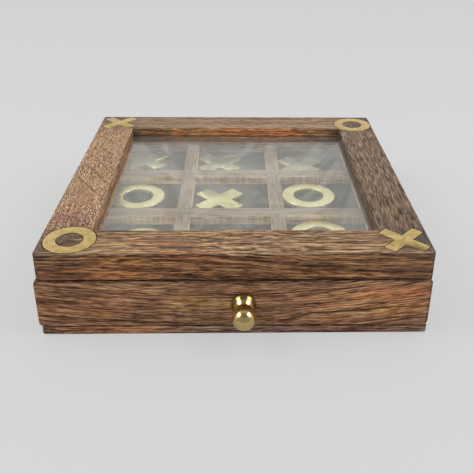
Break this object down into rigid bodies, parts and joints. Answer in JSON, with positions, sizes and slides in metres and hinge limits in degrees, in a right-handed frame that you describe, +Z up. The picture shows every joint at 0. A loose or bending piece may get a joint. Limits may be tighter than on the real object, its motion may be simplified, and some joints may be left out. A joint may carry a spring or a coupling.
{
  "type": "tic-tac-toe box",
  "caption": "Square wooden tic-tac-toe box with a glazed mitred top, brass corner marks, and a drawer whose divided tray holds loose brass X and O pieces.",
  "frame": {"origin": "middle of the base board's underside, below the middle of the case in plan", "axes": "+Z up through the glass, +X to the right and -Y to the front, where the knob is"},
  "size_m": [0.2041, 0.2214, 0.0488],
  "materials": {
    "frame_wood": "oiled open-grained hardwood, greyed on top",
    "case_wood": "oiled open-grained hardwood, darker",
    "front_wood": "oiled hardwood with strong lengthwise grain",
    "tray_wood": "sanded pale hardwood, unstained",
    "lining_felt": "thin dark felt",
    "window_glass": "clear sheet glass",
    "inlay_brass": "sanded flush, satin",
    "piece_brass": "pale polished brass",
    "knob_brass": "turned and polished",
    "screw_steel": "bright steel"
  },
  "bodies": {
    "case": {"base_board": "case_wood", "case_wall_left": "case_wood", "case_wall_right": "case_wood", "case_wall_back": "case_wood", "frame_rail_front": "frame_wood", "frame_rail_right": "frame_wood", "frame_rail_back": "frame_wood", "frame_rail_left": "frame_wood", "glass_pane": "window_glass", "inlay_front_left_ring": "inlay_brass", "inlay_back_right_ring": "inlay_brass", "inlay_front_right_cross": "inlay_brass", "inlay_back_left_cross": "inlay_brass"},
    "drawer": {"drawer_front": "front_wood", "drawer_wall_left": "tray_wood", "drawer_wall_right": "tray_wood", "drawer_inner_front": "tray_wood", "drawer_wall_back": "tray_wood", "drawer_floor": "tray_wood", "lath_across_front": "tray_wood", "lath_across_back": "tray_wood", "lath_along_left": "tray_wood", "lath_along_right": "tray_wood", "tray_lining": "lining_felt", "knob": "knob_brass", "knob_screw": "screw_steel"},
    "x_piece_1": {"x_piece_1": "piece_brass"},
    "x_piece_2": {"x_piece_2": "piece_brass"},
    "x_piece_3": {"x_piece_3": "piece_brass"},
    "x_piece_4": {"x_piece_4": "piece_brass"},
    "x_piece_5": {"x_piece_5": "piece_brass"},
    "o_piece_1": {"o_piece_1": "piece_brass"},
    "o_piece_2": {"o_piece_2": "piece_brass"},
    "o_piece_3": {"o_piece_3": "piece_brass"},
    "o_piece_4": {"o_piece_4": "piece_brass"}
  },
  "joints": [
    {"name": "drawer_slide", "type": "slide", "parent": "case", "child": "drawer", "axis": [0, -1, 0], "range_m": [0, 0.15]},
    {"name": "x_piece_1_lift", "type": "slide", "parent": "drawer", "child": "x_piece_1", "axis": [0, 0, 1], "range_m": [0, 0.0043]},
    {"name": "x_piece_2_lift", "type": "slide", "parent": "drawer", "child": "x_piece_2", "axis": [0, 0, 1], "range_m": [0, 0.0043]},
    {"name": "x_piece_3_lift", "type": "slide", "parent": "drawer", "child": "x_piece_3", "axis": [0, 0, 1], "range_m": [0, 0.0043]},
    {"name": "x_piece_4_lift", "type": "slide", "parent": "drawer", "child": "x_piece_4", "axis": [0, 0, 1], "range_m": [0, 0.0043]},
    {"name": "x_piece_5_lift", "type": "slide", "parent": "drawer", "child": "x_piece_5", "axis": [0, 0, 1], "range_m": [0, 0.0043]},
    {"name": "o_piece_1_lift", "type": "slide", "parent": "drawer", "child": "o_piece_1", "axis": [0, 0, 1], "range_m": [0, 0.0043]},
    {"name": "o_piece_2_lift", "type": "slide", "parent": "drawer", "child": "o_piece_2", "axis": [0, 0, 1], "range_m": [0, 0.0043]},
    {"name": "o_piece_3_lift", "type": "slide", "parent": "drawer", "child": "o_piece_3", "axis": [0, 0, 1], "range_m": [0, 0.0043]},
    {"name": "o_piece_4_lift", "type": "slide", "parent": "drawer", "child": "o_piece_4", "axis": [0, 0, 1], "range_m": [0, 0.0043]}
  ]
}
